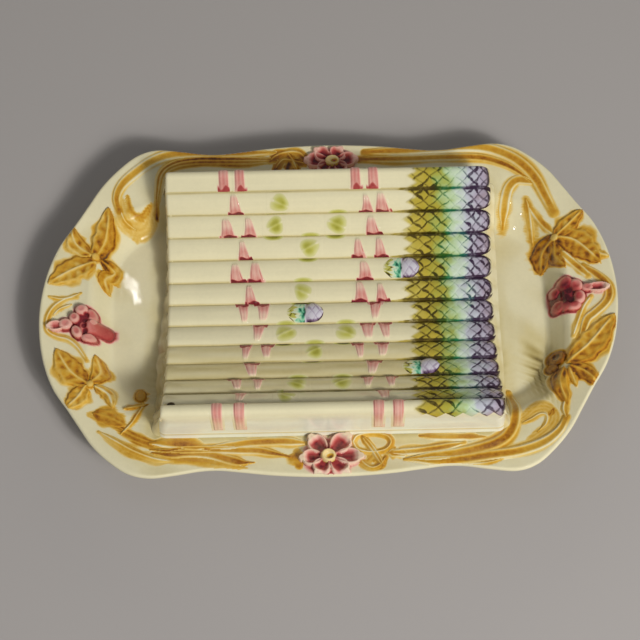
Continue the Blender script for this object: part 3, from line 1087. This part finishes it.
def scales(x, across, k, start, coarse=SCALE_LENGTH):
    """Height, presence and dark lines of the overlapping scales at a place on spear k."""
    p = scale_rows(x, k, start, coarse) + 0.05 * np.sin(x * 0.7 + k)
    q = across * 2.0 + (0.5 if k % 3 == 0 else 0.0) + 0.05 * np.sin(x * 0.33 + 2.0 * k)
    a, b = np.mod(p + q, 1.0), np.mod(p - q, 1.0)
    one, two = chance(np.floor(p + q), np.floor(p - q), k), chance(np.floor(p - q), np.floor(p + q), k + 5.0)
    bold = (1 + 0.8 * smooth((x - 96) / 5) + 0.35 * smooth((84 - x) / 6)) * (1 - 0.55 * hump(x, 91, 5.0))
    first = (0.46 + 0.44 * one) * smooth((bold * (0.1 + 0.18 * one * np.sin(math.pi * b) ** 0.8) + 0.05 - a) / 0.09)
    second = (0.42 + 0.44 * two) * smooth((bold * (0.08 + 0.12 * two * np.sin(math.pi * a) ** 0.8) + 0.05 - b) / 0.09)
    show = smooth((x - start + 2.4 * np.cos(2 * math.pi * q + 0.5 * k)) / 7.0)
    rise = 0.42 * ((a + b) / 2) ** 1.1 * smooth((1.06 - np.maximum(a, b)) / 0.3)
    veil = (0.16 + 0.3 * one * two) * smooth((0.6 - np.minimum(a, b)) / 0.6)
    line = np.maximum(np.maximum(first, second), veil) * (1 - 0.55 * hump(x, 90, 5.5))
    return rise * show, show, line * show


def wander(k, x):
    return 0.5 + 0.5 * np.sin(x * 0.11 + k * 2.1) * np.sin(x * 0.047 + k)


def spear_age(k, x, across):
    """Old stains: a line in each groove, and more on the spears that face away."""
    far = STAINED.get(k, 0.0)
    deep = (0.26 if k < MIDDLE_SPEAR else 0.34) + 0.24 * wander(k, x) + 0.3 * far
    groove = deep * smooth((np.abs(2 * across) - 0.8 + 0.3 * far) / 0.2)
    return np.maximum(groove, far * (1 + 0.4 * np.sin(across * 11 + k) * np.sin(x * 0.06 + k)))


def pooled_green(k, x, across):
    """Green that ran from the scale leaves into the grooves beside them."""
    green = np.zeros_like(x)
    for spear, share in GREENS:
        for rim in (-0.5, 0.5):
            if k - spear in (0, 2 * rim):
                below = (rim < 0) == (spear == k)
                d = np.hypot((x - share * CRADLE_HALF + (1.5 if below else -0.5)) / 7.4, (across - rim) / 0.17)
                strong = 0.72 if spear < 6 else 0.96
                green = np.maximum(green, smooth((1.15 - d) / 0.8) * (strong if below == (spear > 2) else 0.5))
    return green


def spear_marks(k, x, across, lattice=None, coarse=SCALE_LENGTH):
    """The paint on a spear: grooves, pooled dashes and the scaly tip."""
    edge_of, start = np.abs(2 * across), tip_starts[k]
    rise, tip, line = scales(x, across if lattice is None else lattice, k, start, coarse)
    nose = x + 3.0 * edge_of ** 3
    dark = 1.0 if k >= 4 else 0.75
    thick = 0.04 + 0.2 * dark * smooth((x - start + 14) / 18) * (1 - 0.5 * hump(x, 91, 6.0))
    groove = smooth((edge_of - 1 + thick) / 0.06) * smooth((x - start + 15 * dark) / 9)
    groove = np.maximum(groove, 0.5 * smooth((edge_of - 0.66) / 0.34) * smooth((x - start) / 8))
    line = np.maximum(line * smooth((114.6 - nose) / 1.2), 0.85 * hump(nose, 113.4, 1.2))
    line = np.maximum(line, groove * (0.84 + 0.16 * np.sin(x * 0.5 + k)) * smooth((116.5 - x) / 2))
    return rise, {
        "age": spear_age(k, x, across), "honey": 0.1 * wander(k, x) * smooth((edge_of - 0.9) / 0.1),
        "tip": tip * smooth((114.2 - nose) / 1.4), "line": line, "green": pooled_green(k, x, across)}

# %% Make the spears
END_ROUND, SPEAR_CLAY = 2.2, 0.9
VENT_X, VENT_ACROSS, VENT_LENGTH, VENT_WIDTH, VENT_DEPTH = -105.6, -0.42, 2.2, 1.6, 5.0


def stations():
    """Places along a spear: a rounded left end, a plain run, the scales and the nose."""
    turn = np.linspace(0, 0.5 * math.pi, 6)
    left = [(-CRADLE_HALF, 6.0)]
    left += [(-CRADLE_HALF + END_ROUND * (1 - math.cos(t)), END_ROUND * (1 - math.sin(t))) for t in turn]
    run = np.concatenate([np.arange(-109.5, -102.5, 0.45), np.arange(-102.5, 50, 0.9),
                          np.arange(50, TIP_END - TIP_ROUND, 0.42),
                          TIP_END - TIP_ROUND * (1 - np.sin(np.linspace(0, 0.49 * math.pi, 26)))])
    return np.array(left + [(x, 0.0) for x in run])


STATIONS = stations()
ALONG = len(STATIONS) - 1


def nose_share(x):
    return cap(np.clip((x - TIP_END + TIP_ROUND) / TIP_ROUND, 0, 1), 2.4)


def inner_spear(k):
    rows = 34
    piece, column, row = sheet("spear_piece_%02d" % k, ALONG, rows)
    x, drop = STATIONS[column, 0], STATIONS[column, 1]
    across = np.clip((row - 1) / (rows - 2), 0, 1) - 0.5
    skirt = (row == 0) | (row == rows)
    f = nose_share(x)
    rise, marks = spear_marks(k, x, across)
    lift = -2.0 + (spear_lift(across) + 2.0 + rise) * f ** 0.9 - drop
    if k == 12:
        off = np.hypot((x - VENT_X) / VENT_LENGTH, (across - VENT_ACROSS) * 16 / VENT_WIDTH)
        hole = np.exp(-off ** 4)
        lift -= VENT_DEPTH * hole
        marks["soot"] = smooth(hole * 1.5)
    lift = np.where(skirt, np.minimum(lift, -4.5), lift)
    angle = (MIDDLE_SPEAR - k) * PITCH + across * PITCH * (0.08 + 0.92 * f ** 0.7)
    shell(piece, x, *trough(angle, TROUGH - lift), SPEAR_CLAY, **marks)
    finish(piece, ["spear_%02d" % k], "spear_glaze", spear_glaze)


for k in range(2, 13):
    inner_spear(k)

# %% [markdown]
# The first and the last spear are wider: they roll over the crest and run down the side
# wall to the tray, so their strip follows a path across instead of a round back.

# %% Make the two outer spears
def outer_point(sign, along, lift):
    """A place on the outer spear's skin, lifted off it."""
    path, reach = outer_path(sign)
    y, z = (np.interp(along, reach, path[:, n]) for n in (0, 1))
    ty, tz = (np.interp(along + 0.01, reach, path[:, n]) - np.interp(along - 0.01, reach, path[:, n]) for n in (0, 1))
    size = np.hypot(ty, tz) + 1e-9
    return y - sign * lift * tz / size, z + sign * lift * ty / size


def outer_spear(k, sign):
    rows, coarse = 84, 14.0
    piece, column, row = sheet("spear_piece_%02d" % k, ALONG, rows)
    x, drop = STATIONS[column, 0], STATIONS[column, 1]
    along = np.clip((row - 1) / (rows - 1.0), 0, 1)
    crest, f = smooth((0.62 - along) / 0.14), nose_share(x)
    across = np.maximum(0.5 - along * 3.0, -0.38)
    if sign > 0:
        rise, marks = spear_marks(k, x, across)
        scaly, fade = 0.36, 0.06
        marks["pale"] = np.zeros_like(x)
    else:
        rise, marks = spear_marks(k, x, across, 0.5 - np.minimum(along, 0.6) * 1.9, coarse)
        scaly = (1.46 + np.abs(np.mod(scale_rows(x, k, tip_starts[k], coarse), 1.0) - 0.5)) / 3.8
        fade = 0.03
        marks["pale"] = 0.9 * smooth((along - 0.3) / 0.3)
    for name in ("tip", "line"):
        marks[name] = marks[name] * smooth((scaly - along) / fade)
    marks["age"] = np.maximum(0.5 * smooth((0.035 - along) / 0.03), 0.3 * hump(along, 0.9, 0.012))
    marks["green"] = marks["green"] * smooth((0.2 - along) / 0.1)
    y, z = outer_point(sign, along, rise * smooth((scaly - along) / 0.06) + 0.25 * hump(along, 0.9, 0.02))
    end = CRADLE_HALF + smooth((57 - z) / 32.0) * (CRADLE_FOOT - CRADLE_HALF)
    flared = np.clip(x / CRADLE_HALF, -1, 1) * end
    limit = end + np.where(x < 0, 0, 3 * crest)
    x = np.where(x > CRADLE_HALF, crest * x + (1 - crest) * end, flared)
    y = y - sign * drawn_back(np.abs(x) - limit) * smooth((along - 0.3) / 0.3)
    z = np.where(crest > 0, z - crest * ((1 - f) * (z - 44) * 0.8 + drop), z)
    z = np.where(row == 0, z - 5, z)
    shell(piece, x, y, z, SPEAR_CLAY, **marks)
    finish(piece, ["spear_%02d" % k], "spear_glaze", spear_glaze)


outer_spear(1, 1)
outer_spear(13, -1)

# %% [markdown]
# ## Scale leaves on the spears
# The pink scale leaves are low flaring strips. Their narrow end points up the trough's
# side and the wide end down, where crimson glaze has run together in the groove.

# %% Pink scale leaves
LEAF_CLAY, MARGIN, TUCK = 0.4, 1.75, 0.22


def on_spear(k, x, across, lift):
    return (x, *trough((MIDDLE_SPEAR - k) * PITCH + across * PITCH, TROUGH - spear_lift(across) - lift))


def tucked(*beyond):
    """A leaf lies just over the spear, and its margin dips under the spear's skin."""
    return 0.1 - sum(TUCK * smooth(share) for share in beyond)


def pink_of(u, q, seed, pool=0.92, at=0.88):
    """Depth of the pink: outlined sides, pale streaked middle, a pool at the wide end."""
    side = hump(np.abs(u), 0.9, 0.19) * (0.3 + 0.7 * smooth(q / 0.7)) * (0.8 + 0.2 * np.sin(seed + 5 * q))
    streak = 0.5 + 0.34 * np.cos(u * 7.0 + seed) + 0.26 * np.cos(u * 19.0 + 1.7 * seed + 2 * q)
    middle = 0.14 + 0.22 * smooth(q / 0.9) + 0.14 * streak + 0.06 * np.sin(q * 9 + seed)
    drift = u - 0.5 * math.sin(seed * 2.3)
    foot = smooth((q - at + 0.04 * np.sin(u * 3 + seed)) / 0.08) * smooth((1.12 - q) / 0.06) \
        * smooth((1.5 - np.abs(drift) + 0.3 * np.cos(u * 6 + seed)) / 0.4)
    body = np.maximum(smooth((1.08 - np.abs(u)) / 0.2) * middle, 0.62 * side)
    return np.maximum(body, pool * foot) * smooth((q + 0.04) / 0.25)


def spear_bract(name, k, x0, seed):
    piece, column, row = sheet(name, 30, 36)
    u, q = (column / 15.0 - 1) * MARGIN, -0.08 + row / 36.0 * 1.22
    back = k < MIDDLE_SPEAR
    short = 0.1 * abs(math.sin(seed * 1.3))
    across = (-1.0 if back else 1.0) * ((0.93 - short) * q - (0.45 - short))
    round_off = 0.45 + 0.55 * cap(np.clip(0.3 - q, 0, 0.3) / 0.3)
    half = (2.2 + (2.1 if back else 1.7) * np.clip(q, 0, 1) ** 1.5 + 0.45 * math.sin(seed * 1.7)) * round_off
    x = x0 + (1.5 * (q - 0.4) if back else 1.6 * (0.5 - q) * math.cos(seed)) + u * half
    x = x + 0.5 * math.sin(seed) * np.sin(q * 3)
    body = smooth((1.12 - np.abs(u)) / 0.4) * smooth((q + 0.02) / 0.15) * smooth((1.04 - q) / 0.12)
    lift = body * (0.75 * (1 - 0.4 * q) + 0.08 * np.cos(u * 7.0 + seed + math.pi)) \
        + tucked((np.abs(u) - 1.45) / 0.25, (-0.02 - q) / 0.05, (q - 1.09) / 0.04)
    pool, at = (0.92, 0.86) if back else (0.84, 0.8 if k < 9 else 0.72)
    shell(piece, *on_spear(k, x, across, lift), LEAF_CLAY, pink=pink_of(u, q, seed, pool, at),
          age=spear_age(k, x, across))
    return piece


def wall_bar(name, sign, x0, seed):
    piece, column, row = sheet(name, 30, 70)
    u, q = (column / 15.0 - 1) * MARGIN, row / 70.0
    x = x0 + u * (2.8 + 0.5 * (1 - q)) + (1.2 * (0.4 - q) if sign > 0 else 0)
    body = smooth((1.12 - np.abs(u)) / 0.4) * smooth(q / 0.06) * smooth((0.96 - q) / 0.06)
    lift = body * (0.7 + 0.08 * np.cos(u * 7.0 + seed + math.pi)) \
        + tucked((np.abs(u) - 1.45) / 0.25, (q - 0.97) / 0.02, (0.02 - q) / 0.02)
    pool = 0.9 if sign < 0 else 0.75
    pink = np.maximum(pink_of(u, 1.02 - q, seed, pool), 0.5 * pink_of(u, 0.35 + 0.65 * q, seed, 0.4))
    shell(piece, x, *outer_point(sign, 0.004 + 0.81 * q, lift), LEAF_CLAY, pink=pink)
    return piece


for side_name, shares, walls in (("left", LEFT_BRACTS, LEFT_WALL), ("right", RIGHT_BRACTS, RIGHT_WALL)):
    made = []
    for k in range(2, 13):
        for share in shares[k - 2]:
            made.append(spear_bract("bract", k, share * CRADLE_HALF, len(made) + (40 if side_name == "right" else 0)))
    for sign, share in walls:
        made.append(wall_bar("bar", sign, share * CRADLE_HALF, len(made) + 3))
    finish(join("pink_scales_" + side_name, made), ["bracts_" + side_name], "pink_glaze", scale_glaze)

# %% Green scale leaves
def green_scale(k, x0, seed):
    piece, column, row = sheet("green", 34, 30)
    u, v = (column / 17.0 - 1) * 1.35, (row / 15.0 - 1) * 1.12
    x, across = x0 + u * 7.4, v * 0.45
    d = np.hypot(u * (1 + 0.12 * math.sin(seed * 2)), v) * (1 + 0.08 * np.sin(3 * np.arctan2(v, u) + seed))
    slant = u * (0.45 if seed % 2 else -0.4) + 0.1 * math.sin(seed * 3)
    ridge = hump(v * 0.8, slant, 0.12) * smooth((0.95 - d) / 0.3)
    depth = smooth((1.08 - d) / 0.8) * (0.52 + 0.12 * np.sin(u * 3 + seed) + 0.14 * smooth(-v)) - 0.2 * ridge
    lift = 0.35 * smooth((1.0 - d) / 0.8) + 0.3 * ridge + tucked((np.abs(u) - 1.2) / 0.12, (np.abs(v) - 1.06) / 0.05)
    shell(piece, *on_spear(k, x, across, lift), LEAF_CLAY, green=depth, age=spear_age(k, x, across))
    return piece


greens = [green_scale(k, share * CRADLE_HALF, n) for n, (k, share) in enumerate(GREENS)]
finish(join("green_scales", greens), ["bracts_green"], "green_glaze", scale_glaze)

# %% [markdown]
# ## Three loose tips
# Small asparagus tips lie on the fifth, seventh and tenth spear: yellow-green scales, a
# pale middle, and a violet bud at the right end.

# %% Make the loose tips
LOOSE_LENGTH, LOOSE_HALF, LOOSE_SCALE, LOOSE_CLAY = 27.0, 0.455, 7.5, 0.5
DABS = ((0.4, 0.2), (0.47, -0.45), (0.52, 0.35), (0.54, -0.1))


def loose_tip(name, k, share):
    piece, column, row = sheet("tip_on_spear_%02d" % k, 96, 48)
    t, v = column / 96.0, row / 24.0 - 1
    start = share * CRADLE_HALF
    half = LOOSE_HALF * np.where(t < 0.72, 0.3 + 0.7 * smooth(t / 0.3), cap(np.maximum(t - 0.72, 0) / 0.28))
    x, across = start + LOOSE_LENGTH * t, v * np.maximum(half, 0.004)
    ball = np.sqrt(np.clip(1 - ((t - 0.76) / 0.26) ** 2 - 0.8 * v ** 2, 0, 1))
    body = cap(v)
    rise, _, line = scales(x, across, k, start - 8, LOOSE_SCALE)
    lift = np.maximum(body * smooth(t / 0.3), 3.2 * ball) + 0.45 * rise * body
    lift = lift * smooth(t / 0.05) - 0.15 - 0.3 * smooth((np.abs(v) - 0.93) / 0.07)
    shadow_side = smooth((-v - 0.7) / 0.25)
    torn = 0.06 * np.sin(v * 7 + k) + 0.04 * np.sin(v * 17 + 2 * k)
    dabs = sum(hump(t, at, 0.045) * hump(v, up_to, 0.28) for at, up_to in DABS)
    green = smooth((t - 0.02 - np.abs(torn)) / 0.1) * (1 - smooth((t - 0.26 + torn) / 0.22))
    teal = smooth((t - 0.18 + torn) / 0.26) * (1 - smooth((t - 0.58) / 0.12))
    violet = 0.2 + 0.34 * line + 0.6 * smooth((0.5 - ball) / 0.4) + 0.5 * shadow_side
    shell(piece, *on_spear(k, x, across, lift), LOOSE_CLAY, merge=True,
          green=green * (0.46 + 0.5 * line + 0.3 * shadow_side),
          teal=teal * (0.28 + 0.4 * line + 0.6 * dabs + 0.3 * shadow_side),
          violet=smooth((t - 0.5) / 0.12) * np.clip(violet, 0, 1))
    finish(piece, ["loose_tip_" + name], "tip_glaze", loose_glaze)


for name, (k, share) in LOOSE.items():
    loose_tip(name, k, share)

# %% [markdown]
# ## The foot and the table
# The foot ring keeps its CAD shape: it is wiped bare of glaze before the firing, so it
# shows the clay. The platter stands on a plain pale table.

# %% Bare foot and floor
TABLE_METRES, TABLE_COLOUR = 8, (170, 165, 161)
bare_clay, tree, shader, place, colour = new_material("bare clay of the foot", CLAY)
uneven = add(tree, "ShaderNodeGroup", node_tree=depth_group, Place=place, Color=colour, Mottle=0.5)
grit = noise(tree, place, Scale=900.0, Detail=5.0)
grain = add(tree, "ShaderNodeBump", Strength=0.5, Distance=0.0004, Height=grit)
feed(tree, shader["Base Color"], uneven.outputs[0])
feed(tree, shader["Normal"], grain.outputs[0])
shader["Roughness"].default_value = 0.85
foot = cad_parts["foot_ring"]
foot.data.materials.clear()
foot.data.materials.append(bare_clay)

bpy.ops.object.select_all(action="DESELECT")
bpy.ops.mesh.primitive_plane_add(size=TABLE_METRES)
table = bpy.context.active_object
table.name = "table_top"
paper = bpy.data.materials.new("pale table")
paper.use_nodes = True
shader = paper.node_tree.nodes["Principled BSDF"].inputs
shader["Base Color"].default_value = tone(*TABLE_COLOUR)
shader["Roughness"].default_value = 0.8
table.data.materials.append(paper)
